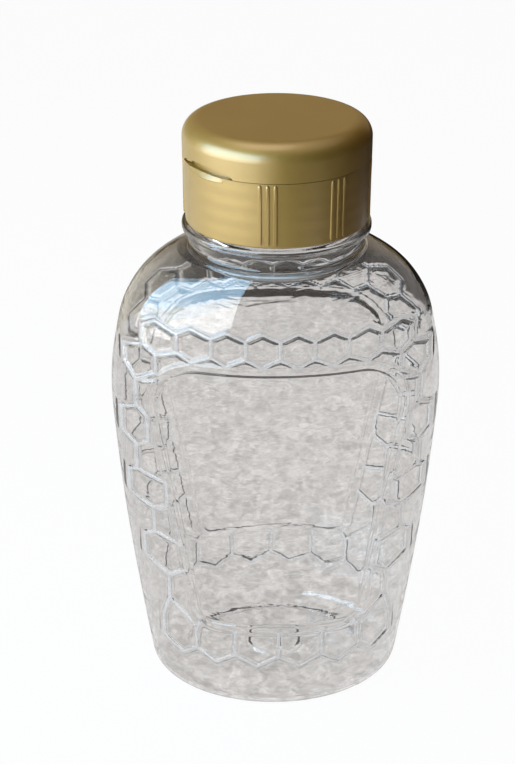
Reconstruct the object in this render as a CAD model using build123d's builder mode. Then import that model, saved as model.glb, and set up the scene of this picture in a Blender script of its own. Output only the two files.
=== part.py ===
from build123d import *
import os
from math import atan2, cos, degrees, pi, radians, sin

os.makedirs("parts", exist_ok=True)

# The bottle stands on Z = 0 with its axis on Z, its wide side along X and its front towards -Y.

# Bottle body
body_width = 76.6
body_depth = 45.4
body_height = 112.6
wall = 0.9
base_round = 3.6
standing_ring = 2.0
push_up_height = 2.6
push_up_slope = 4.0
gate_radius = 6.2
gate_height = 0.6

# Sections of the body from the base to the neck, as shares of its height, width and depth
section_height_shares = (0, 0.08, 0.25, 0.42, 0.58, 0.69, 0.77, 0.825, 0.875, 0.91, 0.945, 0.976)
section_width_shares = (
    0.789, 0.825, 0.893, 0.95, 0.987, 1, 0.98, 0.95, 0.91, 0.858, 0.778, 0.655,
)
section_depth_shares = (
    1.06, 1.04, 1.015, 1.005, 1, 1, 0.995, 0.985, 0.965, 0.945, 0.92, 0.885,
)

# Honeycomb and label panel relief
relief = 0.35
rib_width = 1.0
panel_top_height = 89.3
panel_bottom_height = 23.2
panel_top_half_width = 29.4
panel_bottom_half_width = 18.2
panel_top_corner = 10.0
panel_bottom_corner = 4.5
border_width = 2.1

# Rows of upright ribs from the shoulder down: height of the middle and half-length, as shares
# of the body height, then how far the ribs stand from the middle, as shares of its half-width
row_height_shares = (0.845, 0.792, 0.718, 0.643, 0.567, 0.500, 0.428, 0.355, 0.270, 0.160)
row_half_length_shares = (0.0187, 0.0187, 0.029, 0.028, 0.029, 0.027, 0.029, 0.027, 0.030, 0.028)
row_reach_shares = (
    (0, 0.21, 0.42, 0.63, 0.84),
    (0.105, 0.315, 0.525, 0.735, 0.93),
    (0.84,),
    (0.775, 0.935),
    (0.86,),
    (0.69, 0.93),
    (0.79,),
    (0.60, 0.88),
    (0.157, 0.46, 0.745),
    (0, 0.315, 0.59, 0.83),
)
# A slant joins ribs of two rows that stand no further apart than this share of the half-width
slant_reach_share = 0.33
# The lowest zigzag, under the last row, turns at these places
foot_height_share = 0.107
foot_reach_shares = (0.157, 0.46, 0.71)

# Bottle neck and finish
neck_radius = 19.3
neck_length = 3.4
neck_fillet = 1.2
bead_radius = 21.15
bead_thickness = 1.8
finish_height = 12.6
finish_radius = 17.6
finish_wall = 1.5
rim_round = 0.4

# Thread shared by the neck and the cap
thread_pitch = 4.23
thread_depth = 1.05
thread_root_width = 2.2
thread_crest_width = 1.1
thread_sink = 0.3
neck_thread_turns = 1.25
neck_thread_top_gap = 2.9
cap_thread_turns = 1.0
cap_thread_lag_turns = 0.05
cap_thread_drop = 1.75
thread_sections_per_turn = 18
thread_fade_sections = 3
thread_clearance = 0.3

# Cap
cap_turn = -53.0
cap_radius = 20.5
cap_rim_gap = 0.4
cap_foot_draft = 0.2
cap_edge_round = 0.5
deck_thickness = 1.3
grip_rib_width = 0.55
grip_rib_height = 0.22
grip_rib_step = 4.6
grip_group_step = 45.0
grip_margin = 0.9
seat_wall = 0.8
seat_height = 1.1
seat_clearance = 0.3
spout_radius = 5.6
spout_taper = 0.7
spout_height = 3.4
spout_bore = 3.2
spout_round = 0.3

# Sealing ring
gasket_thickness = 1.0
gasket_radius = 18.4
gasket_bore = 12.5

# Lid
lid_radius = 20.75
lid_height = 8.1
lid_wall = 1.3
lid_round = 3.9
lid_gap = 0.2
seal_ring_wall = 0.8
seal_ring_clearance = 0.4
seal_ring_lift = 0.6
seal_gap = 0.2
notch_half_angle = 24.0
notch_height = 1.7
scoop_depth = 0.9
scoop_drop = 1.3

# Film hinge
strap_width = 11.0
strap_thickness = 0.8
strap_standoff = 0.25
strap_reach = 1.6
strap_gap = 0.12
film_thickness = 0.3
film_notch = 0.4
lug_height = 2.4
lug_slope = 1.0

# One overrun for every cut
overrun = 1.0

# Heights that follow
bead_bottom = body_height + neck_length
bead_top = bead_bottom + bead_thickness
rim_height = bead_top + finish_height
cap_foot = bead_top + cap_rim_gap
deck_bottom = rim_height + gasket_thickness
deck_top = deck_bottom + deck_thickness
lid_foot = deck_top + lid_gap
lid_top = lid_foot + lid_height
finish_bore = finish_radius - finish_wall
neck_bore = neck_radius - finish_wall
ring_half_width = body_width / 2 * section_width_shares[0] - base_round - standing_ring
ring_half_depth = body_depth / 2 * section_depth_shares[0] - base_round - standing_ring
strap_outside = lid_radius + strap_standoff + strap_thickness
strap_axis_y = strap_outside - strap_thickness / 2
low_film = deck_top - strap_reach
high_film = lid_foot + strap_reach
upward = (Align.CENTER, Align.CENTER, Align.MIN)


def body_section(height):
    """Half-width and half-depth of the body at a height, between the listed sections."""
    share = height / body_height
    for low in range(len(section_height_shares) - 1):
        start, end = section_height_shares[low], section_height_shares[low + 1]
        if share <= end:
            break
    along = (share - start) / (end - start)
    width = section_width_shares[low] * (1 - along) + section_width_shares[low + 1] * along
    depth = section_depth_shares[low] * (1 - along) + section_depth_shares[low + 1] * along
    return width * body_width / 2, depth * body_depth / 2


def body_faces(grow, floor=0):
    """Every listed section as a face, grown by a length, with the neck circle last."""
    rows = zip(section_height_shares, section_width_shares, section_depth_shares)
    listed = [
        (h * body_height, w * body_width / 2 + grow, d * body_depth / 2 + grow) for h, w, d in rows
    ]
    listed.append((body_height, neck_radius + grow, neck_radius + grow))
    faces = []
    for height, half_width, half_depth in listed:
        with BuildSketch(Plane.XY.offset(max(height, floor))) as section:
            Ellipse(half_width, half_depth)
        faces.append(section.sketch)
    return faces


def push_up_faces(grow):
    """Foot and top of the pushed-up base, grown by a length."""
    faces = []
    for height, slope in ((0, 0), (push_up_height + grow, push_up_slope)):
        with BuildSketch(Plane.XY.offset(height)) as section:
            Ellipse(ring_half_width - slope + grow, ring_half_depth - slope + grow)
        faces.append(section.sketch)
    return faces


def rib_points():
    """Upright ribs of the right half as rows of (reach, low end, high end)."""
    rows = []
    for height, half, reaches in zip(row_height_shares, row_half_length_shares, row_reach_shares):
        middle, length = height * body_height, half * body_height
        half_width = body_section(middle)[0]
        rows.append([(reach * half_width, middle - length, middle + length) for reach in reaches])
    return rows


def honeycomb_lines():
    """The ribs of the right half: uprights, and slants down to the uprights of the next row."""
    rows = rib_points()
    slant_reach = slant_reach_share * body_width / 2
    foot_height = foot_height_share * body_height
    foot_width = body_section(foot_height)[0]
    rows.append([(reach * foot_width, foot_height, foot_height) for reach in foot_reach_shares])
    lines = [((x, low), (x, high)) for row in rows[:-1] for x, low, high in row]
    for upper, lower in zip(rows, rows[1:]):
        for x, low, _ in upper:
            near = [(u, top) for u, _, top in lower if abs(u - x) < slant_reach]
            left = [place for place in near if place[0] < x]
            right = [place for place in near if place[0] > x]
            if left:
                lines.append(((x, low), max(left)))
            if right:
                lines.append(((x, low), min(right)))
    # The top row is closed by peaks between its uprights
    first, second = rows[0], rows[1]
    peak_height = first[0][2] + (first[0][1] - second[0][2])
    for (x, _, high), (u, _, _), (x_next, _, _) in zip(first, second, first[1:]):
        lines.append(((x, high), (u, peak_height)))
        lines.append(((u, peak_height), (x_next, high)))
    return lines


def panel_face(grow):
    """Shield shape of the label panel, grown by a length, in a sketch's own X and Y."""
    top, bottom = panel_top_height + grow, panel_bottom_height - grow
    wide, narrow = panel_top_half_width + grow, panel_bottom_half_width + grow
    with BuildSketch() as face:
        with BuildLine():
            Polyline((-narrow, bottom), (narrow, bottom), (wide, top), (-wide, top), close=True)
        make_face()
        fillet(face.vertices().group_by(Axis.Y)[0], radius=panel_bottom_corner + grow)
        fillet(face.vertices().group_by(Axis.Y)[-1], radius=panel_top_corner + grow)
    return face.sketch_local


def relief_face():
    """Honeycomb ribs outside the panel and the panel's raised border."""
    border, panel = panel_face(border_width), panel_face(0)
    with BuildSketch() as face:
        for start, end in honeycomb_lines():
            rib = Vector(*end) - Vector(*start)
            with Locations((Vector(*start) + Vector(*end)) / 2):
                SlotCenterToCenter(rib.length, rib_width, rotation=degrees(atan2(rib.Y, rib.X)))
        mirror(about=Plane.YZ)
        add(border, mode=Mode.SUBTRACT)
        add(border - panel)
    return face.sketch_local


def screw_thread(root, crest, bottom, turns, start_turns):
    """One helical ridge between two radii, with both ends fading out."""
    count = round(turns * thread_sections_per_turn)
    outward = 1 if crest > root else -1
    with BuildPart() as ridge:
        for step in range(count + 1):
            from_end = min(step, count - step) / thread_fade_sections
            full = max(min(from_end, 1), thread_sink)
            turn = start_turns + turns * step / count
            angle = 2 * pi * turn
            height = bottom + thread_pitch * turns * step / count
            tip = root + (crest - root) * full
            inner = root - outward * thread_sink
            half_root = thread_root_width / 2 * full
            half_tip = thread_crest_width / 2 * full
            plane = Plane(
                origin=(0, 0, height),
                x_dir=(cos(angle), sin(angle), 0),
                z_dir=(sin(angle), -cos(angle), 0),
            )
            with BuildSketch(plane):
                with BuildLine():
                    Polyline(
                        (inner, -half_root),
                        (tip, -half_tip),
                        (tip, half_tip),
                        (inner, half_root),
                        close=True,
                    )
                make_face()
        loft()
    return ridge.part


def turned(part):
    """A cap piece, made with its thumb side towards -Y, at its place on the bottle."""
    return Rot(0, 0, cap_turn) * part


# Honeycomb and panel border, standing out of the body by the relief
with BuildPart() as relief_shape:
    loft(body_faces(relief))
    with BuildSketch(Plane.XZ):
        add(relief_face())
    extrude(amount=body_depth, both=True, mode=Mode.INTERSECT, clean=False)

neck_thread_bottom = rim_height - neck_thread_top_gap - thread_pitch * neck_thread_turns
neck_thread = screw_thread(
    finish_radius, finish_radius + thread_depth, neck_thread_bottom, neck_thread_turns, 0
)

# Inside of the body, a wall's thickness in from the sides and from the pushed-up base
with BuildPart() as cavity:
    loft(body_faces(-wall, wall))
    fillet(cavity.edges().group_by(Axis.Z)[0], radius=base_round - wall)
    loft(push_up_faces(wall), mode=Mode.SUBTRACT)
    with Locations((0, 0, push_up_height)):
        Cylinder(gate_radius + wall, gate_height + wall, align=upward, mode=Mode.SUBTRACT)

# Bottle
with BuildPart() as bottle:
    loft(body_faces(0))
    fillet(bottle.edges().group_by(Axis.Z)[0], radius=base_round)
    # Base pushed up inside its standing ring, with a shallow round recess in the middle
    loft(push_up_faces(0), mode=Mode.SUBTRACT)
    with Locations((0, 0, push_up_height)):
        Cylinder(gate_radius, gate_height, align=upward, mode=Mode.SUBTRACT)
    # Neck, bead and finish outside
    with BuildSketch(Plane.XZ) as outside:
        with BuildLine():
            Polyline(
                (0, body_height - wall),
                (neck_radius, body_height - wall),
                (neck_radius, bead_bottom),
                (bead_radius, bead_bottom),
                (bead_radius, bead_top),
                (finish_radius, bead_top),
                (finish_radius, rim_height),
                (0, rim_height),
                close=True,
            )
        make_face()
        fillet(outside.vertices().group_by(Axis.X)[-1], radius=bead_thickness / 3)
        fillet(outside.vertices().group_by(Axis.Y)[-1].sort_by(Axis.X)[-1], radius=rim_round)
    revolve(axis=Axis.Z)
    fillet(
        bottle.edges().filter_by_position(Axis.Z, body_height - wall / 2, body_height + wall / 2),
        radius=neck_fillet,
    )
    add(neck_thread)
    add(relief_shape.part, clean=False)
    add(cavity.part, mode=Mode.SUBTRACT, clean=False)
    with BuildSketch(Plane.XZ):
        with BuildLine():
            Polyline(
                (0, body_height - overrun),
                (neck_bore, body_height - overrun),
                (neck_bore, bead_bottom),
                (finish_bore, bead_top),
                (finish_bore, rim_height + overrun),
                (0, rim_height + overrun),
                close=True,
            )
        make_face()
    revolve(axis=Axis.Z, mode=Mode.SUBTRACT, clean=False)
bottle.part.label = "bottle"
export_step(bottle.part, "parts/bottle.step")

# Cap body: a screw skirt with a deck, a pouring spout and a seat for the lid
cap_thread_bottom = (
    neck_thread_bottom + thread_pitch * cap_thread_lag_turns - cap_thread_drop
)
skirt_bore = finish_radius + thread_depth + thread_clearance
# The thread starts where the neck's does once the cap is turned to its place
cap_thread_start = cap_thread_lag_turns - cap_turn / 360
cap_thread = screw_thread(
    skirt_bore, skirt_bore - thread_depth, cap_thread_bottom, cap_thread_turns, cap_thread_start
)
seat_radius = lid_radius - lid_wall - seat_clearance
spout_top = deck_top + spout_height

with BuildPart() as skirt:
    with BuildSketch(Plane.XZ) as section:
        with BuildLine():
            Polyline(
                (skirt_bore, cap_foot),
                (cap_radius - cap_foot_draft, cap_foot),
                (cap_radius, deck_top),
                (seat_radius, deck_top),
                (seat_radius, deck_top + seat_height),
                (seat_radius - seat_wall, deck_top + seat_height),
                (seat_radius - seat_wall, deck_top),
                (spout_radius, deck_top),
                (spout_radius - spout_taper, spout_top),
                (spout_bore, spout_top),
                (spout_bore, deck_bottom),
                (skirt_bore, deck_bottom),
                close=True,
            )
        make_face()
        fillet(section.vertices().group_by(Axis.Y)[0].sort_by(Axis.X)[-1], radius=cap_edge_round)
        fillet(section.vertices().group_by(Axis.Y)[-1], radius=spout_round)
    revolve(axis=Axis.Z)
    # Grip ribs in groups of three, none at the thumb side or the hinge
    rib_length = deck_top - cap_foot - 2 * grip_margin
    group_count = round(360 / grip_group_step)
    for group in range(group_count):
        if group % (group_count // 2) == 0:
            continue
        for rib in (-1, 0, 1):
            angle = group * grip_group_step + rib * grip_rib_step - 90
            with BuildSketch(Plane.XY.offset(cap_foot + grip_margin)):
                with PolarLocations(cap_radius - grip_rib_width / 2, 1, start_angle=angle):
                    Rectangle(grip_rib_width + 2 * grip_rib_height, grip_rib_width)
            extrude(amount=rib_length)
    # Scoop under the lid's thumb notch
    notch_half_width = lid_radius * sin(radians(notch_half_angle))
    with BuildSketch(Plane.XZ.offset(cap_radius - scoop_depth)):
        with Locations((0, deck_top)):
            Ellipse(notch_half_width, scoop_drop)
    extrude(amount=scoop_depth + overrun, mode=Mode.SUBTRACT)
    # Lug that carries the lower film of the hinge
    with BuildSketch(Plane.YZ.offset(-strap_width / 2)):
        with BuildLine():
            Polyline(
                (skirt_bore + lug_slope / 2, low_film - strap_gap),
                (strap_axis_y - film_thickness / 2, low_film - strap_gap),
                (strap_outside, low_film - strap_gap - film_notch),
                (strap_outside, low_film - lug_height),
                (skirt_bore + lug_slope / 2, low_film - lug_height - lug_slope),
                close=True,
            )
        make_face()
    extrude(amount=strap_width)
    add(cap_thread)
cap_body = turned(skirt.part)
cap_body.label = "cap_body"
export_step(cap_body, "parts/cap_body.step")

# Sealing ring between the deck and the bottle's rim
with BuildPart() as seal_gasket:
    with BuildSketch(Plane.XY.offset(rim_height)):
        Circle(gasket_radius)
        Circle(gasket_bore, mode=Mode.SUBTRACT)
    extrude(amount=gasket_thickness)
seal_gasket.part.label = "seal_gasket"
export_step(seal_gasket.part, "parts/seal_gasket.step")

# Lid: a domed cover with a seal cup that closes over the spout
seal_ring_bore = spout_radius + seal_ring_clearance
lid_ceiling = lid_top - lid_wall
with BuildPart() as lid:
    with BuildSketch(Plane.XZ) as section:
        with BuildLine():
            Polyline(
                (0, lid_top),
                (lid_radius, lid_top),
                (lid_radius, lid_foot),
                (lid_radius - lid_wall, lid_foot),
                (lid_radius - lid_wall, lid_ceiling),
                (seal_ring_bore + seal_ring_wall, lid_ceiling),
                (seal_ring_bore + seal_ring_wall, deck_top + seal_ring_lift),
                (seal_ring_bore, deck_top + seal_ring_lift),
                (seal_ring_bore, spout_top + seal_gap),
                (0, spout_top + seal_gap),
                close=True,
            )
        make_face()
        fillet(section.vertices().group_by(Axis.Y)[-1].sort_by(Axis.X)[-1], radius=lid_round)
        ceiling = section.vertices().filter_by_position(
            Axis.Y, lid_ceiling - overrun / 2, lid_ceiling + overrun / 2
        )
        fillet(ceiling.sort_by(Axis.X)[-1], radius=lid_round - lid_wall)
    revolve(axis=Axis.Z)
    # Thumb notch
    with BuildSketch(Plane.XZ.offset(lid_radius - lid_wall - overrun)):
        with Locations((0, lid_foot)):
            Ellipse(notch_half_width, notch_height)
    extrude(amount=lid_wall + 2 * overrun, mode=Mode.SUBTRACT)
    # Lug that carries the upper film of the hinge
    with BuildSketch(Plane.YZ.offset(-strap_width / 2)):
        with BuildLine():
            Polyline(
                (lid_radius - lid_wall + lug_slope / 2, high_film + strap_gap),
                (strap_axis_y - film_thickness / 2, high_film + strap_gap),
                (strap_outside, high_film + strap_gap + film_notch),
                (strap_outside, high_film + lug_height),
                (lid_radius - lid_wall + lug_slope / 2, high_film + lug_height + lug_slope),
                close=True,
            )
        make_face()
    extrude(amount=strap_width)
cap_lid = turned(lid.part)
cap_lid.label = "cap_lid"
export_step(cap_lid, "parts/cap_lid.step")

# Hinge strap: a stiff band that folds at a thin film above and below
with BuildPart() as strap:
    with BuildSketch(Plane.YZ.offset(-strap_width / 2)):
        with BuildLine():
            Polyline(
                (strap_axis_y - film_thickness / 2, low_film),
                (strap_axis_y + film_thickness / 2, low_film),
                (strap_outside, low_film + film_notch),
                (strap_outside, high_film - film_notch),
                (strap_axis_y + film_thickness / 2, high_film),
                (strap_axis_y - film_thickness / 2, high_film),
                (strap_outside - strap_thickness, high_film - film_notch),
                (strap_outside - strap_thickness, low_film + film_notch),
                close=True,
            )
        make_face()
    extrude(amount=strap_width)
hinge_strap = turned(strap.part)
hinge_strap.label = "hinge_strap"
export_step(hinge_strap, "parts/hinge_strap.step")

for name, place in (("lower", low_film), ("upper", high_film)):
    print(f"{name} film of the hinge: {strap_axis_y:.3f} from the axis, height {place:.3f}")
print(f"thumb notch half-width {notch_half_width:.3f}, neck thread from {neck_thread_bottom:.3f}")
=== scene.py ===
import math

import bpy
import numpy as np
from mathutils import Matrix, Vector


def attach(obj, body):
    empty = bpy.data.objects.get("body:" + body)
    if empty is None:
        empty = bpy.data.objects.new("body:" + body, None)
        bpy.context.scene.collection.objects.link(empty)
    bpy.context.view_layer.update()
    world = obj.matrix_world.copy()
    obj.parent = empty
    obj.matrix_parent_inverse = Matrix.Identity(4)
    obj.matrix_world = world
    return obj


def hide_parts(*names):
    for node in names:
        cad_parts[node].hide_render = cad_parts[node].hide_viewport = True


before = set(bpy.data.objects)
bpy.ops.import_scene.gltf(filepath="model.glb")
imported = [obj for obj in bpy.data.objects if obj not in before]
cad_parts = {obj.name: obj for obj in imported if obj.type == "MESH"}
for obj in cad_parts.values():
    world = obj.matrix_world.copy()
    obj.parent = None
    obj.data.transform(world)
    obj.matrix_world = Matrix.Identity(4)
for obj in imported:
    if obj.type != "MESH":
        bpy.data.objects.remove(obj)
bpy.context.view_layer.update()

# Shape of the clear bottle, in millimetres as in the CAD source
BODY_HALF_WIDTH = 38.3
BODY_HALF_DEPTH = 22.7
BODY_HEIGHT = 112.6
HEIGHT_SHARES = (0, 0.08, 0.25, 0.42, 0.58, 0.69, 0.77, 0.825, 0.875, 0.91, 0.945, 0.976)
WIDTH_SHARES = (0.789, 0.825, 0.893, 0.95, 0.987, 1, 0.98, 0.95, 0.91, 0.858, 0.778, 0.655)
DEPTH_SHARES = (1.06, 1.04, 1.015, 1.005, 1, 1, 0.995, 0.985, 0.965, 0.945, 0.92, 0.885)
WALL = 0.9
BASE_ROUND = 3.6
STANDING_RING = 2.0
PUSH_UP = 2.6
PUSH_UP_SLOPE = 4.0
GATE_RADIUS = 6.2
GATE_HEIGHT = 0.6
GATE_SLOPE = 0.25
OUTER_WALL_TOP = 111.4
INNER_WALL_TOP = 110.9
NECK_RADIUS = 19.3
NECK_FOOT = BODY_HEIGHT + 0.1
NECK_BORE = 17.8
NECK_BORE_FOOT = BODY_HEIGHT - 0.4
BEAD_BOTTOM = 116.0
BEAD_TOP = 117.8
BEAD_RADIUS = 21.15
FINISH_RADIUS = 17.6
FINISH_BORE = 16.1
RIM = 130.4
THREAD_PITCH = 4.23
THREAD_TURNS = 1.25
THREAD_DEPTH = 1.05
THREAD_BOTTOM = 122.2125
THREAD_HALF_WIDTH = 1.15
THREAD_FLANK = 0.65
THREAD_RUN_OUT_TURNS = 0.125
THREAD_ZONE_BOTTOM = BEAD_TOP + 0.6
THREAD_ZONE_TOP = RIM - 0.5
THREAD_ZONE_RADIUS = FINISH_RADIUS - 0.2
NECK_RING_RADIUS = 19.5
NECK_RING_HEIGHT = 111.6
NECK_RING_HALF_WIDTH = 1.25
NECK_RING_EDGE_SHARE = 0.7
NECK_RING_RELIEF = 0.5
MM = 0.001

# Honeycomb: rows of upright ribs, as in the CAD source
RELIEF = 0.35
ROW_HEIGHTS = (0.845, 0.792, 0.718, 0.643, 0.567, 0.500, 0.428, 0.355, 0.270, 0.160)
ROW_HALF_LENGTHS = (0.0187, 0.0187, 0.029, 0.028, 0.029, 0.027, 0.029, 0.027, 0.030, 0.028)
ROW_REACHES = (
    (0, 0.21, 0.42, 0.63, 0.84),
    (0.105, 0.315, 0.525, 0.735, 0.93),
    (0.84,),
    (0.775, 0.935),
    (0.86,),
    (0.69, 0.93),
    (0.79,),
    (0.60, 0.88),
    (0.157, 0.46, 0.745),
    (0, 0.315, 0.59, 0.83),
)
SLANT_REACH = 0.33
FOOT_HEIGHT = 0.107
FOOT_REACHES = (0.157, 0.46, 0.71)
PANEL = {"top": 89.3, "bottom": 23.2, "wide": 29.4, "narrow": 18.2}
PANEL_TOP_CORNER = 10.0
PANEL_BOTTOM_CORNER = 4.5
BORDER = 2.1
RIB_WIDTH = 1.0

# How the relief shows on the two surfaces, and where it may be
OUTER_RELIEF = RELIEF * 0.85
OUTER_FLANK = 1.25
INNER_RELIEF = RELIEF * 0.3
INNER_FLANK = 0.9
RELIEF_BOTTOM = 8
RELIEF_TOP = 102
RELIEF_LEAST_HALF_WIDTH = 20
EDGE_NAMES = ("rib_edge", "border_edge")
# Edge distance of a point that no rib or border is near
FAR = 9.0

# Grip ribs of the cap, rounder than the CAD's, and its thumb scoop
CAP_TURN = -53.0
CAP_RADIUS = 20.5
CAP_DRAFT = 0.2
CAP_FOOT = 118.2
CAP_TOP = 132.7
GRIP_BOTTOM = 119.0
GRIP_TOP = 132.5
GRIP_GROUPS = 8
GRIP_RIB_STEP = 4.6
GRIP_RIB_HALF_WIDTH = 0.42
GRIP_RIB_RELIEF = 0.29
GRIP_RIB_END = 0.6
SCOOP_DEPTH = 0.9
SCOOP_DROP = 1.3
SCOOP_FLOOR_SHARE = 0.6
SCOOP_WIDTH_SHARE = 0.998
SCOOP_SINK = 0.1
NOTCH_HALF_WIDTH = 8.44

# Fineness of the meshes
COLUMNS = 640
FINE_STEP = 0.34
COARSE_STEP = 0.75
RING_STEP = 0.17
LONGEST_CUT = 0.49
CURVE_POINTS = 7
BASE_ROUND_POINTS = 13
PANEL_CORNER_POINTS = 17
WALL_SAMPLES = 4000
SECTION_SAMPLES = 20001
GRIP_RIB_SIDES = 16
GRIP_RIB_STATIONS = (0, 0.04, 0.15, 0.34, GRIP_RIB_END, 1, 2, 3, 4, 5, 6)
SCOOP_COLUMNS = 41
SCOOP_ROWS = 9
TINY = 1e-12


def natural_spline(knots, values):
    """Interpolating cubic with no curvature at its ends, as a function of an array."""
    x, y = np.array(knots, float), np.array(values, float)
    h = np.diff(x)
    n = len(x)
    system, right = np.eye(n), np.zeros(n)
    for i in range(1, n - 1):
        system[i, i - 1 : i + 2] = h[i - 1], 2 * (h[i - 1] + h[i]), h[i]
        right[i] = 6 * ((y[i + 1] - y[i]) / h[i] - (y[i] - y[i - 1]) / h[i - 1])
    bend = np.linalg.solve(system, right)

    def value(at):
        at = np.asarray(at, float)
        i = np.clip(np.searchsorted(x, at) - 1, 0, n - 2)
        left, toward = at - x[i], x[i + 1] - at
        cubic = (bend[i] * toward**3 + bend[i + 1] * left**3) / (6 * h[i])
        low = (y[i] / h[i] - bend[i] * h[i] / 6) * toward
        high = (y[i + 1] / h[i] - bend[i + 1] * h[i] / 6) * left
        return cubic + low + high

    return value


section_heights = [h * BODY_HEIGHT for h in HEIGHT_SHARES] + [BODY_HEIGHT]
half_width = natural_spline(
    section_heights, [w * BODY_HALF_WIDTH for w in WIDTH_SHARES] + [NECK_RADIUS]
)
half_depth = natural_spline(
    section_heights, [d * BODY_HALF_DEPTH for d in DEPTH_SHARES] + [NECK_RADIUS]
)


def soften(points):
    """Path of (a, b, z, cut), where a curve that long each way rounds each corner with a cut."""
    path = []
    for i, (a, b, z, cut) in enumerate(points):
        here = np.array((a, b, z), float)
        if cut == 0 or i in (0, len(points) - 1):
            path.append(here)
            continue
        before, after = (np.array(points[k][:3], float) - here for k in (i - 1, i + 1))
        start, end = (
            here + side * min(cut / np.linalg.norm(side), LONGEST_CUT)
            for side in (before, after)
        )
        for t in np.linspace(0, 1, CURVE_POINTS):
            path.append((1 - t) ** 2 * start + 2 * t * (1 - t) * here + t * t * end)
    return np.array(path)


def fill(path):
    """The same path with every long run divided evenly, finer round the ring under the neck."""
    out = [path[0]]
    for start, end in zip(path, path[1:]):
        close = abs((start[2] + end[2]) / 2 - NECK_RING_HEIGHT) < 2 * NECK_RING_HALF_WIDTH
        step = RING_STEP if close else COARSE_STEP
        count = max(1, math.ceil(np.linalg.norm(end - start) / step))
        out += [start + (end - start) * k / count for k in range(1, count + 1)]
    return np.array(out)


def wall_rows(grow, low, high, step):
    """Points up the body's side between two heights, evenly spaced along it."""
    z = np.linspace(low, high, WALL_SAMPLES)
    a = half_width(z) + grow
    along = np.r_[0, np.cumsum(np.sqrt(np.diff(a) ** 2 + np.diff(z) ** 2))]
    at = np.linspace(0, along[-1], math.ceil(along[-1] / step) + 1)
    z = np.interp(at, along, z)
    return [(a, b, h, 0) for a, b, h in zip(half_width(z) + grow, half_depth(z) + grow, z)]


def base_rows(grow):
    """Base: recess of the gate, pushed-up floor, standing ring and rounded foot."""
    ring_a = half_width(0) - BASE_ROUND - STANDING_RING - grow
    ring_b = half_depth(0) - BASE_ROUND - STANDING_RING - grow
    gate, floor = GATE_RADIUS - grow, PUSH_UP - grow
    rows = [
        (0, 0, floor + GATE_HEIGHT, 0),
        (gate - GATE_SLOPE, gate - GATE_SLOPE, floor + GATE_HEIGHT, 0.4),
        (gate + GATE_SLOPE, gate + GATE_SLOPE, floor, 0.4),
        (ring_a - PUSH_UP_SLOPE, ring_b - PUSH_UP_SLOPE, floor, 1.8),
        (ring_a, ring_b, -grow, 0.9),
    ]
    for turn in np.linspace(-math.pi / 2, 0, BASE_ROUND_POINTS):
        height = BASE_ROUND + (BASE_ROUND + grow) * math.sin(turn)
        inset = BASE_ROUND - (BASE_ROUND + grow) * math.cos(turn)
        rows.append((half_width(height) - inset, half_depth(height) - inset, height, 0))
    return rows[:-1]


# Up the outer and inner surface: half width, half depth, height and cut of each corner
outer = soften(
    base_rows(0)
    + wall_rows(0, BASE_ROUND, OUTER_WALL_TOP, FINE_STEP)
    + [
        (NECK_RADIUS, NECK_RADIUS, NECK_FOOT, 1.5),
        (NECK_RADIUS, NECK_RADIUS, BEAD_BOTTOM, 0.4),
        (BEAD_RADIUS, BEAD_RADIUS, BEAD_BOTTOM, 0.75),
        (BEAD_RADIUS, BEAD_RADIUS, BEAD_TOP, 0.75),
        (FINISH_RADIUS, FINISH_RADIUS, BEAD_TOP, 0.4),
        (FINISH_RADIUS, FINISH_RADIUS, RIM, 0.4),
        (FINISH_BORE, FINISH_BORE, RIM, 0),
    ]
)
inner = soften(
    base_rows(-WALL)
    + wall_rows(-WALL, BASE_ROUND, INNER_WALL_TOP, FINE_STEP * 2)
    + [
        (NECK_BORE, NECK_BORE, NECK_BORE_FOOT, 0.8),
        (NECK_BORE, NECK_BORE, BEAD_BOTTOM, 1.0),
        (FINISH_BORE, FINISH_BORE, BEAD_TOP, 1.0),
        (FINISH_BORE, FINISH_BORE, RIM, 0),
    ]
)
outer, inner = fill(outer), fill(inner)


def even_angles(count):
    """Angles that space points evenly along the body's widest section."""
    t = np.linspace(0, 2 * math.pi, SECTION_SAMPLES)
    pace = np.hypot(BODY_HALF_WIDTH * np.sin(t), BODY_HALF_DEPTH * np.cos(t))
    along = np.r_[0, np.cumsum((pace[1:] + pace[:-1]) / 2 * np.diff(t))]
    return np.interp(np.arange(count) / count * along[-1], along, t)


def honeycomb_segments():
    """Ribs of the right half as (x0, z0, x1, z1)."""
    rows = []
    for share, half, reaches in zip(ROW_HEIGHTS, ROW_HALF_LENGTHS, ROW_REACHES):
        middle, length = share * BODY_HEIGHT, half * BODY_HEIGHT
        wide = float(half_width(middle))
        rows.append([(reach * wide, middle - length, middle + length) for reach in reaches])
    foot = FOOT_HEIGHT * BODY_HEIGHT
    rows.append([(reach * float(half_width(foot)), foot, foot) for reach in FOOT_REACHES])
    lines = [(x, low, x, high) for row in rows[:-1] for x, low, high in row]
    # Slants run from each rib's foot to the tops of the nearest ribs below
    for upper, lower in zip(rows, rows[1:]):
        for x, low, _ in upper:
            near = [(u, top) for u, _, top in lower if abs(u - x) < SLANT_REACH * BODY_HALF_WIDTH]
            left = [place for place in near if place[0] < x]
            right = [place for place in near if place[0] > x]
            if left:
                lines.append((x, low, *max(left)))
            if right:
                lines.append((x, low, *min(right)))
    # Peaks close the top row
    first, second = rows[0], rows[1]
    peak = first[0][2] + (first[0][1] - second[0][2])
    for (x, _, high), (u, _, _), (x_next, _, _) in zip(first, second, first[1:]):
        lines.append((x, high, u, peak))
        lines.append((u, peak, x_next, high))
    return np.array(lines)


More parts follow.
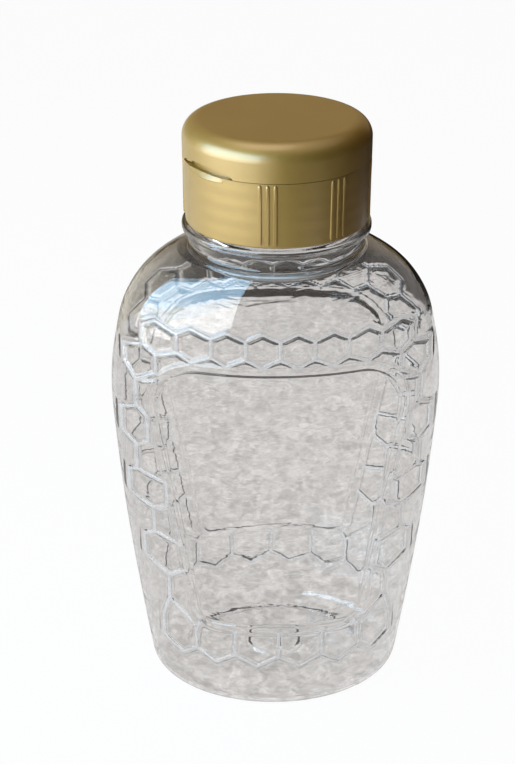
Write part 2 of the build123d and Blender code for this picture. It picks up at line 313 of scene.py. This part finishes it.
def distance_to(points, lines):
    """Least distance of each point (x, z) to any of the segments."""
    best = np.full(len(points), np.inf)
    for x0, z0, x1, z1 in lines:
        run = np.array((x1 - x0, z1 - z0))
        from_start = points - (x0, z0)
        length = max(run @ run, TINY)
        t = np.clip(from_start @ run / length, 0, 1)
        gap = from_start - t[:, None] * run
        np.minimum(best, np.einsum("ij,ij->i", gap, gap), out=best)
    return np.sqrt(best)


def panel_outline():
    """Corners of the label panel with their arcs, anticlockwise, as points (x, z)."""
    corners = (
        ((-PANEL["narrow"], PANEL["bottom"]), PANEL_BOTTOM_CORNER),
        ((PANEL["narrow"], PANEL["bottom"]), PANEL_BOTTOM_CORNER),
        ((PANEL["wide"], PANEL["top"]), PANEL_TOP_CORNER),
        ((-PANEL["wide"], PANEL["top"]), PANEL_TOP_CORNER),
    )
    outline = []
    for i, (corner, radius) in enumerate(corners):
        corner = np.array(corner)
        back = np.array(corners[i - 1][0]) - corner
        ahead = np.array(corners[(i + 1) % 4][0]) - corner
        back, ahead = back / np.linalg.norm(back), ahead / np.linalg.norm(ahead)
        half = math.acos(float(back @ ahead)) / 2
        middle = (back + ahead) / np.linalg.norm(back + ahead)
        centre = corner + middle * radius / math.sin(half)
        start, end = (corner + way * radius / math.tan(half) - centre for way in (back, ahead))
        a0 = math.atan2(start[1], start[0])
        turn = (math.atan2(end[1], end[0]) - a0 + math.pi) % (2 * math.pi) - math.pi
        for t in np.linspace(0, 1, PANEL_CORNER_POINTS):
            angle = a0 + turn * t
            outline.append(centre + radius * np.array((math.cos(angle), math.sin(angle))))
    return np.array(outline)


def panel_distance(points):
    """Distance outside the label panel, below zero inside it."""
    outline = panel_outline()
    after = np.roll(outline, -1, axis=0)
    gap = distance_to(points, np.c_[outline, after])
    inside = np.ones(len(points), bool)
    for p, q in zip(outline, after):
        inside &= (q[0] - p[0]) * (points[:, 1] - p[1]) - (q[1] - p[1]) * (points[:, 0] - p[0]) > 0
    return np.where(inside, -gap, gap)


def smooth(t):
    """Smooth step from 0 to 1."""
    t = np.clip(t, 0, 1)
    return t * t * (3 - 2 * t)


def relief_edges(points):
    """Distances outside the ribs and the panel border, below zero on them, for points (x, z)."""
    sided = np.c_[np.abs(points[:, 0]), points[:, 1]]
    rib = distance_to(sided, honeycomb_segments()) - RIB_WIDTH / 2
    outside = panel_distance(sided)
    border = np.abs(outside - BORDER / 2) - BORDER / 2
    return np.where(outside > BORDER / 2, rib, FAR), border


def surface(path, relief, flank):
    """Grid of points round the axis for a path, pushed out by the relief, and its two edges."""
    t = even_angles(COLUMNS)
    grid = np.stack(
        [
            path[:, :1] * np.cos(t),
            path[:, 1:2] * np.sin(t),
            np.repeat(path[:, 2:3], COLUMNS, axis=1),
        ],
        axis=-1,
    )
    up = np.gradient(grid, axis=0)
    round_ = np.roll(grid, -1, axis=1) - np.roll(grid, 1, axis=1)
    normal = np.cross(round_, up)
    normal /= np.maximum(np.linalg.norm(normal, axis=-1, keepdims=True), TINY)
    wide, high = path[:, 0] > RELIEF_LEAST_HALF_WIDTH, path[:, 2]
    rows = np.where((high > RELIEF_BOTTOM) & (high < RELIEF_TOP) & wide)[0]
    rows = rows[rows > len(base_rows(0))]
    flat = grid[rows].reshape(-1, 3)[:, [0, 2]]
    edges = np.full((2, *grid.shape[:2]), FAR)
    for edge, found in zip(edges, relief_edges(flat)):
        edge[rows] = found.reshape(len(rows), COLUMNS)
    # Half of the flank lies inside the edge and half outside
    lift = smooth(0.5 - edges.min(axis=0) / flank)[..., None]
    return grid + normal * lift * relief, edges


def add_neck_ring(grid, rib_edge):
    """Pushes a rounded ring out of the corner between shoulder and neck, and notes its edge."""
    radius = np.hypot(grid[..., 0], grid[..., 1])
    gap = np.hypot(radius - NECK_RING_RADIUS, grid[..., 2] - NECK_RING_HEIGHT)
    push = NECK_RING_RELIEF * smooth(1 - gap / NECK_RING_HALF_WIDTH)
    scale = 1 + push / np.maximum(radius, 1)
    grid[..., 0] *= scale
    grid[..., 1] *= scale
    np.minimum(rib_edge, gap - NECK_RING_EDGE_SHARE * NECK_RING_HALF_WIDTH, out=rib_edge)
    return grid


def add_thread(grid):
    """Pushes the neck's thread out of the finish."""
    x, y, z = grid[..., 0], grid[..., 1], grid[..., 2]
    zone = (z > THREAD_ZONE_BOTTOM) & (z < THREAD_ZONE_TOP) & (np.hypot(x, y) > THREAD_ZONE_RADIUS)
    push = np.zeros_like(z)
    for lap in (0, 1):
        turn = (np.arctan2(y, x) / (2 * math.pi)) % 1 + lap
        ends = np.minimum(turn, THREAD_TURNS - turn)
        fade = smooth(ends / THREAD_RUN_OUT_TURNS)
        gap = np.abs(z - THREAD_BOTTOM - THREAD_PITCH * turn)
        push = np.maximum(push, fade * smooth((THREAD_HALF_WIDTH - gap) / THREAD_FLANK))
    scale = 1 + np.where(zone, push * THREAD_DEPTH / FINISH_RADIUS, 0)
    grid[..., 0] *= scale
    grid[..., 1] *= scale
    return grid


def mesh_object(name, points, quads, triangles):
    """A smooth-shaded mesh object from points in millimetres."""
    mesh = bpy.data.meshes.new(name)
    mesh.vertices.add(len(points))
    mesh.vertices.foreach_set("co", (points * MM).astype(np.float32).ravel())
    loops = np.concatenate([quads.ravel(), triangles.ravel()]).astype(np.int32)
    mesh.loops.add(len(loops))
    mesh.loops.foreach_set("vertex_index", loops)
    starts = np.concatenate(
        [np.arange(len(quads)) * 4, len(quads) * 4 + np.arange(len(triangles)) * 3]
    ).astype(np.int32)
    mesh.polygons.add(len(starts))
    mesh.polygons.foreach_set("loop_start", starts)
    mesh.polygons.foreach_set("use_smooth", np.ones(len(starts), bool))
    mesh.update(calc_edges=True)
    mesh.validate()
    made = bpy.data.objects.new(name, mesh)
    bpy.context.scene.collection.objects.link(made)
    return made


def bottle_mesh():
    """Outer and inner surface as one closed wall."""
    out, edges = surface(outer, OUTER_RELIEF, OUTER_FLANK)
    out = add_thread(add_neck_ring(out, edges[0]))
    ins, _ = surface(inner, INNER_RELIEF, INNER_FLANK)
    shells = np.concatenate([out[1:], ins[::-1][1:-1]])
    count = len(shells)
    ring = np.arange(COLUMNS)
    nxt = np.roll(ring, -1)
    low = (np.arange(count - 1) * COLUMNS)[:, None]
    quads = np.stack([low + ring, low + nxt, low + COLUMNS + nxt, low + COLUMNS + ring], axis=-1)
    first, last = count * COLUMNS, count * COLUMNS + 1
    end = (count - 1) * COLUMNS
    triangles = np.concatenate(
        [
            np.stack([np.full(COLUMNS, first), nxt, ring], axis=-1),
            np.stack([np.full(COLUMNS, last), end + ring, end + nxt], axis=-1),
        ]
    )
    points = np.concatenate([shells.reshape(-1, 3), out[0, :1], ins[0, :1]])
    made = mesh_object("clear_bottle", points, quads.reshape(-1, 4), triangles)
    for name, edge in zip(EDGE_NAMES, edges):
        values = np.full(len(points), FAR, np.float32)
        values[: edge[1:].size] = edge[1:].ravel()
        made.data.attributes.new(name, "FLOAT", "POINT").data.foreach_set("value", values)
    return made


def draft_at(z):
    """How much narrower than its top the cap's skirt is at a height."""
    return CAP_DRAFT * (CAP_TOP - z) / (CAP_TOP - CAP_FOOT)


def grip_ribs():
    """Rounded ribs over the cap's grip ribs, in groups of three, as one mesh."""
    across = np.linspace(0, 2 * math.pi, GRIP_RIB_SIDES + 1)[:-1]
    along = np.array(GRIP_RIB_STATIONS)
    length = GRIP_TOP - GRIP_BOTTOM
    along = np.r_[along, (length - along)[::-1]]
    from_end = np.minimum(along, length - along)
    swell = np.sqrt(1 - (1 - np.clip(from_end / GRIP_RIB_END, 0, 1)) ** 2)
    u = GRIP_RIB_HALF_WIDTH * np.cos(across) * swell[:, None]
    v = GRIP_RIB_RELIEF * np.sin(across) * swell[:, None]
    z = GRIP_BOTTOM + along[:, None] + np.zeros_like(u)
    out = CAP_RADIUS - draft_at(z) + v
    rings, count = u.shape
    ring, low = np.arange(count), (np.arange(rings - 1) * count)[:, None]
    nxt, high = np.roll(ring, -1), low + count
    faces = np.stack([low + ring, high + ring, high + nxt, low + nxt], axis=-1).reshape(-1, 4)
    points, quads = [], []
    for group in range(GRIP_GROUPS):
        # The hinge and the thumb scoop take the place of two groups
        if group % (GRIP_GROUPS // 2) == 0:
            continue
        for rib in (-1, 0, 1):
            angle = group * 360 / GRIP_GROUPS + rib * GRIP_RIB_STEP - 90 + CAP_TURN
            c, s = math.cos(math.radians(angle)), math.sin(math.radians(angle))
            quads.append(faces + len(points) * u.size)
            placed = np.stack([out * c - u * s, out * s + u * c, z], axis=-1)
            points.append(placed.reshape(-1, 3))
    none = np.zeros((0, 3), int)
    return mesh_object("grip_ribs", np.concatenate(points), np.concatenate(quads), none)


def thumb_scoop():
    """Sloped floor of the thumb scoop, from the set-back wall out to the skirt."""
    wall = CAP_RADIUS - SCOOP_DEPTH
    reach = math.sqrt(CAP_RADIUS**2 - wall**2)
    x = np.linspace(-1, 1, SCOOP_COLUMNS)[None, :] * reach * SCOOP_WIDTH_SHARE
    down = np.linspace(0, 1, SCOOP_ROWS)[:, None]
    z = CAP_TOP - down * SCOOP_DROP * np.sqrt(1 - (x / NOTCH_HALF_WIDTH) ** 2)
    inset = np.sqrt(CAP_RADIUS**2 - x**2) - wall
    front = wall + inset * (1 - SCOOP_FLOOR_SHARE * (1 - down)) - draft_at(z)
    back = np.full_like(front, wall - SCOOP_SINK)
    turn = math.radians(CAP_TURN)
    grids = []
    for y in (-front, -back):
        turned = (x * np.cos(turn) - y * np.sin(turn), x * np.sin(turn) + y * np.cos(turn), z)
        grids.append(np.stack(turned, axis=-1).reshape(-1, 3))
    rows, columns = front.shape
    index = np.arange(rows * columns).reshape(rows, columns)
    corners = (index[1:, :-1], index[1:, 1:], index[:-1, 1:], index[:-1, :-1])
    faces = np.stack(corners, axis=-1).reshape(-1, 4)
    edge = np.r_[index[0, :-1], index[:-1, -1], index[-1, :0:-1], index[:0:-1, 0]]
    after, count = np.roll(edge, -1), rows * columns
    rim = np.stack([edge, after, after + count, edge + count], axis=-1)
    quads = np.concatenate([faces, faces[:, ::-1] + count, rim])
    return mesh_object("thumb_scoop", np.concatenate(grids), quads, np.zeros((0, 3), int))


# Node helpers. A colour is a tuple, or a socket that gives one
def new_material(name):
    material = bpy.data.materials.new(name)
    material.use_nodes = True
    tree = material.node_tree
    return material, tree, tree.nodes["Principled BSDF"], tree.nodes["Material Output"]


def set_colour(tree, socket, colour):
    if isinstance(colour, tuple):
        socket.default_value = (*colour, 1)
    else:
        tree.links.new(colour, socket)


def object_place(tree):
    """Place on the object, as a vector."""
    return tree.nodes.new("ShaderNodeTexCoord").outputs["Object"]


def split(tree, vector):
    """X, Y and Z of a vector."""
    node = tree.nodes.new("ShaderNodeSeparateXYZ")
    tree.links.new(vector, node.inputs["Vector"])
    return [node.outputs[axis] for axis in "XYZ"]


def light_path(tree):
    return tree.nodes.new("ShaderNodeLightPath").outputs


def noise(tree, scale, detail=2.0, roughness=0.5, distortion=0.0, coords=None):
    """Noise about 0.5, in blotches of about 1/scale of a metre."""
    node = tree.nodes.new("ShaderNodeTexNoise")
    node.inputs["Scale"].default_value = scale
    node.inputs["Detail"].default_value = detail
    node.inputs["Roughness"].default_value = roughness
    node.inputs["Distortion"].default_value = distortion
    tree.links.new(object_place(tree) if coords is None else coords, node.inputs["Vector"])
    return node.outputs["Fac"]


def spread(tree, value, low, high, from_low=0.3, from_high=0.7):
    """Low to high as the value goes from from_low to from_high."""
    node = tree.nodes.new("ShaderNodeMapRange")
    node.inputs["From Min"].default_value = from_low
    node.inputs["From Max"].default_value = from_high
    node.inputs["To Min"].default_value = low
    node.inputs["To Max"].default_value = high
    tree.links.new(value, node.inputs["Value"])
    return node.outputs["Result"]


def two_colours(tree, value, low, high, from_low=0.3, from_high=0.7):
    """Colour low to colour high as the value goes from from_low to from_high."""
    node = tree.nodes.new("ShaderNodeValToRGB")
    node.color_ramp.elements[0].position = from_low
    node.color_ramp.elements[0].color = (*low, 1)
    node.color_ramp.elements[1].position = from_high
    node.color_ramp.elements[1].color = (*high, 1)
    tree.links.new(value, node.inputs["Fac"])
    return node.outputs["Color"]


def maths(tree, operation, first, second):
    node = tree.nodes.new("ShaderNodeMath")
    node.operation = operation
    for socket, value in zip(node.inputs, (first, second)):
        if isinstance(value, (int, float)):
            socket.default_value = value
        else:
            tree.links.new(value, socket)
    return node.outputs[0]


def bump(tree, height, strength, distance, normal=None):
    node = tree.nodes.new("ShaderNodeBump")
    node.inputs["Strength"].default_value = strength
    node.inputs["Distance"].default_value = distance
    tree.links.new(height, node.inputs["Height"])
    if normal is not None:
        tree.links.new(normal, node.inputs["Normal"])
    return node.outputs["Normal"]


def mix_colours(tree, share, first, second):
    """First colour, with a share of the second."""
    node = tree.nodes.new("ShaderNodeMix")
    node.data_type = "RGBA"
    tree.links.new(share, node.inputs[0])
    set_colour(tree, node.inputs[6], first)
    set_colour(tree, node.inputs[7], second)
    return node.outputs[2]


def mix_shaders(tree, share, first, second):
    """First shader, with a share of the second."""
    node = tree.nodes.new("ShaderNodeMixShader")
    tree.links.new(share, node.inputs["Fac"])
    tree.links.new(first, node.inputs[1])
    tree.links.new(second, node.inputs[2])
    return node.outputs["Shader"]


def glow(tree, colour):
    node = tree.nodes.new("ShaderNodeEmission")
    set_colour(tree, node.inputs["Color"], colour)
    return node.outputs["Emission"]


# Materials of the object
PET_INDEX = 1.57
PET_TINTS = (0.95, 0.943, 0.938), (0.84, 0.83, 0.825)
# Painted shade along the edges of the relief: its tint, and how much of it darkens the wall
PET_PAINTED_EDGE_SHADE = (0.34, 0.33, 0.32)
PET_PAINTED_EDGE_SHADE_SHARE = 0.32
PET_SHADOW_TINT = (0.9, 0.9, 0.9)
RIB_SCATTER = 0.16
NECK_RING_SCATTER = 0.6
GOLD_TONES = (0.43, 0.250, 0.046), (0.485, 0.286, 0.061)
FOAM_TONES = (0.74, 0.74, 0.71), (0.86, 0.86, 0.84)


def clear_plastic():
    """Blow-moulded PET: faintly grey, with flow marks in its wall, whiter ribs and painted shade
    along the edges of its relief.
    """
    material, tree, shader, output = new_material("clear_pet")
    shader.inputs["IOR"].default_value = PET_INDEX
    # Flow marks run down to the right across the wall, and grow even towards the neck
    coords = object_place(tree)
    turned = tree.nodes.new("ShaderNodeMapping")
    turned.inputs["Rotation"].default_value = (0, math.radians(24), 0)
    turned.inputs["Scale"].default_value = (0.6, 0.6, 1.4)
    tree.links.new(coords, turned.inputs["Vector"])
    flow = turned.outputs["Vector"]
    marks = noise(tree, scale=240, detail=3, roughness=0.55, distortion=1.0, coords=flow)
    _, _, z = split(tree, coords)
    even = spread(tree, z, low=0, high=0.06, from_low=0.098, from_high=0.108)
    ridge = maths(tree, "ABSOLUTE", maths(tree, "SUBTRACT", marks, 0.5), 0)
    ridge = maths(tree, "MAXIMUM", ridge, even)
    tint = two_colours(tree, ridge, *PET_TINTS, from_low=0.0, from_high=0.085)
    # Painted shade: the wall's colour darkens along the edges of the ribs, the panel border and
    # the ring under the neck, where the relief shades it
    edges = []
    for name in EDGE_NAMES:
        found = tree.nodes.new("ShaderNodeAttribute")
        found.attribute_name = name
        edges.append(found.outputs["Fac"])
    edge = maths(tree, "MINIMUM", *edges)
    near = maths(tree, "ABSOLUTE", edge, 0)
    painted_edge_line = spread(tree, near, low=1, high=0, from_low=0.04, from_high=0.17)
    painted_edge_shade = maths(tree, "MULTIPLY", painted_edge_line, PET_PAINTED_EDGE_SHADE_SHARE)
    tree.links.new(mix_colours(tree, painted_edge_shade, tint, PET_PAINTED_EDGE_SHADE), shader.inputs["Base Color"])
    # The ribs scatter a little light, and the ring more
    crest = spread(tree, edges[0], low=1, high=0, from_low=-0.25, from_high=-0.05)
    ring = spread(tree, edges[0], low=1, high=0, from_low=-0.8, from_high=-0.55)
    on_ribs = maths(tree, "MULTIPLY", crest, -RIB_SCATTER)
    on_ring = maths(tree, "MULTIPLY", ring, -NECK_RING_SCATTER)
    clearness = maths(tree, "ADD", maths(tree, "ADD", on_ribs, on_ring), 1.0)
    tree.links.new(clearness, shader.inputs["Transmission Weight"])
    tree.links.new(spread(tree, marks, low=0.01, high=0.04), shader.inputs["Roughness"])
    ripple = noise(tree, scale=170, detail=2, roughness=0.5, distortion=0.8, coords=flow)
    waved = bump(tree, ripple, strength=0.08, distance=0.0005)
    step = spread(tree, edge, low=1, high=0, from_low=-0.15, from_high=0.15)
    stepped = bump(tree, step, strength=0.25, distance=0.0003, normal=waved)
    tree.links.new(stepped, shader.inputs["Normal"])
    # Lamps shine through it almost unchanged, so that its shadow is faint
    through = tree.nodes.new("ShaderNodeBsdfTransparent")
    set_colour(tree, through.inputs["Color"], PET_SHADOW_TINT)
    shadow = light_path(tree)["Is Shadow Ray"]
    whole = mix_shaders(tree, shadow, shader.outputs["BSDF"], through.outputs["BSDF"])
    tree.links.new(whole, output.inputs["Surface"])
    return material


def gold_plastic(name, threaded=False):
    """Polypropylene filled with gold flake: satin, with fine sparkle and faint flow marks.

    A threaded piece also has faint sink marks outside its thread.
    """
    material, tree, shader, _ = new_material(name)
    shader.inputs["Metallic"].default_value = 0.5
    shader.inputs["Specular IOR Level"].default_value = 0.5
    shader.inputs["Coat Weight"].default_value = 1.0
    shader.inputs["Coat Roughness"].default_value = 0.28
    shader.inputs["Coat IOR"].default_value = 1.8
    flow = noise(tree, scale=55, detail=3, roughness=0.55, distortion=0.4)
    tree.links.new(two_colours(tree, flow, *GOLD_TONES), shader.inputs["Base Color"])
    flake = noise(tree, scale=5200)
    tree.links.new(spread(tree, flake, low=0.42, high=0.52), shader.inputs["Roughness"])
    skin = bump(tree, flake, strength=0.10, distance=0.00003)
    mould = noise(tree, scale=420)
    normal = bump(tree, mould, strength=0.10, distance=0.0001, normal=skin)
    if threaded:
        sinks = tree.nodes.new("ShaderNodeTexWave")
        sinks.bands_direction = "Z"
        sinks.inputs["Scale"].default_value = 95
        sinks.inputs["Distortion"].default_value = 0.8
        sinks.inputs["Detail Scale"].default_value = 0.3
        tree.links.new(object_place(tree), sinks.inputs["Vector"])
        sunk = sinks.outputs["Fac"]
        normal = bump(tree, sunk, strength=0.30, distance=0.0001, normal=normal)
    tree.links.new(normal, shader.inputs["Normal"])
    return material


def foam():
    """Closed-cell foam: pale, dull and finely pitted."""
    material, tree, shader, _ = new_material("seal_foam")
    cells = noise(tree, scale=2600)
    tree.links.new(two_colours(tree, cells, *FOAM_TONES), shader.inputs["Base Color"])
    shader.inputs["Roughness"].default_value = 0.85
    pitted = bump(tree, cells, strength=0.4, distance=0.0001)
    tree.links.new(pitted, shader.inputs["Normal"])
    return material


def dress(node, material):
    """Gives a CAD node its one material."""
    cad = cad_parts[node]
    cad.data.materials.clear()
    cad.data.materials.append(material)


# The bottle's look stands for its CAD node
clear = bottle_mesh()
clear.data.materials.append(clear_plastic())
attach(clear, "bottle")
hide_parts("bottle")

gold = gold_plastic("satin_gold")
dress("cap_body", gold_plastic("satin_gold_skirt", threaded=True))
dress("cap_lid", gold)
dress("hinge_strap", gold)
for piece in (grip_ribs(), thumb_scoop()):
    piece.data.materials.append(gold)
    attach(piece, "cap")
dress("seal_gasket", foam())

# Floor: white for the camera, and a mottled pale table through the plastic and in reflections
FLOOR_HALF = 4.0
FLOOR_HEIGHT = -0.0003
FLOOR_COLOUR = (0.9, 0.9, 0.9)
WHITE = (1, 1, 1)
WHITE_SHARE = 0.95
TABLE_TONES = (0.60, 0.59, 0.58), (0.92, 0.91, 0.90)
TABLE_END = 0.216, 0.222
OUTSIDE_TONES = (0.022, 0.018, 0.014), (0.95, 0.91, 0.78)


def stage_plane(name, half, height):
    """A level square on the stage, centred under the object."""
    mesh = bpy.data.meshes.new(name)
    corners = ((-half, -half), (half, -half), (half, half), (-half, half))
    mesh.from_pydata([(x, y, height) for x, y in corners], [], [(0, 1, 2, 3)])
    made = bpy.data.objects.new(name, mesh)
    bpy.context.scene.collection.objects.link(made)
    return made


def pale_floor():
    material, tree, shader, output = new_material("pale_floor")
    shader.inputs["Roughness"].default_value = 0.9
    path = light_path(tree)
    coords = object_place(tree)
    x, y, _ = split(tree, coords)
    grain = noise(tree, scale=230, detail=3, roughness=0.55, distortion=1.2, coords=coords)
    table = two_colours(tree, grain, *TABLE_TONES, from_low=0.36, from_high=0.64)
    # The table ends behind the bottle, and for reflections also in front and on the right
    corner = spread(tree, x, low=0, high=0.012, from_low=0.015, from_high=0.035)
    back = maths(tree, "SUBTRACT", y, corner)
    front = maths(tree, "MULTIPLY", y, -1.0)
    sides = maths(tree, "MAXIMUM", front, x)
    sides = maths(tree, "SUBTRACT", sides, path["Is Transmission Ray"])
    ends = maths(tree, "MAXIMUM", back, sides)
    beyond = spread(tree, ends, low=0, high=1, from_low=TABLE_END[0], from_high=TABLE_END[1])
    # Outside it is dark, with paler blotches on the left
    blotches = noise(tree, scale=22, detail=2, roughness=0.5, distortion=0.6, coords=coords)
    blotches = spread(tree, blotches, low=0.5, high=1.5, from_low=0.35, from_high=0.65)
    leftward = spread(tree, x, low=0.5, high=0, from_low=-0.09, from_high=-0.02)
    tone = maths(tree, "MULTIPLY", leftward, blotches)
    outside = two_colours(tree, tone, *OUTSIDE_TONES, from_low=0, from_high=0.7)
    shade = mix_colours(tree, beyond, table, outside)
    plain = mix_colours(tree, path["Is Camera Ray"], shade, FLOOR_COLOUR)
    tree.links.new(plain, shader.inputs["Base Color"])
    # It glows: nearly all of it white for the camera, all of it for clear and glossy rays
    seen = mix_shaders(tree, path["Is Camera Ray"], glow(tree, shade), glow(tree, WHITE))
    for_camera = maths(tree, "MULTIPLY", path["Is Camera Ray"], WHITE_SHARE)
    clear_or_glossy = maths(tree, "MAXIMUM", path["Is Transmission Ray"], path["Is Glossy Ray"])
    share = maths(tree, "MAXIMUM", for_camera, clear_or_glossy)
    whole = mix_shaders(tree, share, shader.outputs["BSDF"], seen)
    tree.links.new(whole, output.inputs["Surface"])
    return material


floor = stage_plane("floor", FLOOR_HALF, FLOOR_HEIGHT)
floor.data.materials.append(pale_floor())

# Lamps: a window on the left in three bands, bluer upwards, and a weak one overhead
WINDOW_AZIMUTH = -60
WINDOW_DISTANCE = 0.5
WINDOW_WIDTH = 0.78
WINDOW_BANDS = (
    # Name, height of its middle, its own height, radiance and colour
    ("window_low", 0.045, 0.09, 4.0, (0.94, 0.98, 1.0)),
    ("window_middle", 0.12, 0.06, 4.4, (0.74, 0.90, 1.0)),
    ("window_high", 0.31, 0.32, 5.9, (0.46, 0.74, 1.0)),
)
OVERHEAD_SIZE = 0.45


def lamp(name, place, target, width, height, radiance, colour):
    """A rectangular soft light that sends out a given brightness from its face."""
    light = bpy.data.lights.new(name, "AREA")
    light.shape = "RECTANGLE"
    light.size, light.size_y = width, height
    light.energy = radiance * width * height * math.pi
    light.color = colour
    made = bpy.data.objects.new(name, light)
    bpy.context.scene.collection.objects.link(made)
    made.location = place
    away = Vector(target) - Vector(place)
    made.rotation_euler = away.to_track_quat("-Z", "Y").to_euler()
    made.visible_camera = False


def around(azimuth, distance, height):
    """A place round the object: azimuth 0 is in front of it and 90 to its right, in degrees."""
    turn = math.radians(azimuth)
    return (distance * math.sin(turn), -distance * math.cos(turn), height)


for name, middle, band, radiance, colour in WINDOW_BANDS:
    place = around(WINDOW_AZIMUTH, WINDOW_DISTANCE, middle)
    lamp(name, place, (0, 0, middle), WINDOW_WIDTH, band, radiance, colour)
lamp(
    "overhead",
    around(-90, distance=0.10, height=0.80),
    target=(0, 0, 0.13),
    width=OVERHEAD_SIZE,
    height=OVERHEAD_SIZE,
    radiance=1.25,
    colour=(1.0, 0.95, 0.88),
)

# Room: white for the camera, even grey through clear plastic, else dim walls and ceiling
WALL_TONES = (0.22, 0.20, 0.17), (0.022, 0.010, 0.003)
FAR_WALL_COLOUR = (0.34, 0.25, 0.13)
CEILING_COLOUR = (0.50, 0.46, 0.38)
THROUGH_COLOUR = (0.30, 0.29, 0.28)

world = bpy.data.worlds.new("studio")
bpy.context.scene.world = world
world.use_nodes = True
tree = world.node_tree
background, output = tree.nodes["Background"], tree.nodes["World Output"]
x, y, z = split(tree, tree.nodes.new("ShaderNodeTexCoord").outputs["Generated"])
path = light_path(tree)
rightward = spread(tree, x, low=0, high=1, from_low=-1, from_high=1)
walls = two_colours(tree, rightward, *WALL_TONES, from_low=0.1, from_high=0.5)
far = spread(tree, y, low=0, high=1, from_low=0.72, from_high=0.88)
walls = mix_colours(tree, far, walls, FAR_WALL_COLOUR)
above = spread(tree, z, low=0, high=1, from_low=0.6, from_high=0.85)
off_front = spread(tree, y, low=0, high=1, from_low=-0.9, from_high=-0.4)
ceiling = maths(tree, "MULTIPLY", above, off_front)
room = mix_colours(tree, ceiling, walls, CEILING_COLOUR)
room = mix_colours(tree, path["Is Transmission Ray"], room, THROUGH_COLOUR)
tree.links.new(room, background.inputs["Color"])
pure = tree.nodes.new("ShaderNodeBackground")
set_colour(tree, pure.inputs["Color"], WHITE)
dim, white = background.outputs["Background"], pure.outputs["Background"]
tree.links.new(mix_shaders(tree, path["Is Camera Ray"], dim, white), output.inputs["Surface"])

# Camera at the photograph's viewing angle
CAMERA_PLACE = (-0.01504, -0.3268, 0.2425)
CAMERA_HEADING = (0.0294, 0.8914, -0.4522)

camera_data = bpy.data.cameras.new("camera")
camera = bpy.data.objects.new("camera", camera_data)
bpy.context.scene.collection.objects.link(camera)
bpy.context.scene.camera = camera
camera.location = CAMERA_PLACE
camera.rotation_euler = Vector(CAMERA_HEADING).to_track_quat("-Z", "Y").to_euler()
camera_data.lens = 73.7
camera_data.sensor_width = 36.0
camera_data.clip_start = 0.01
camera_data.clip_end = 50.0

bpy.context.scene.view_settings.view_transform = "Standard"
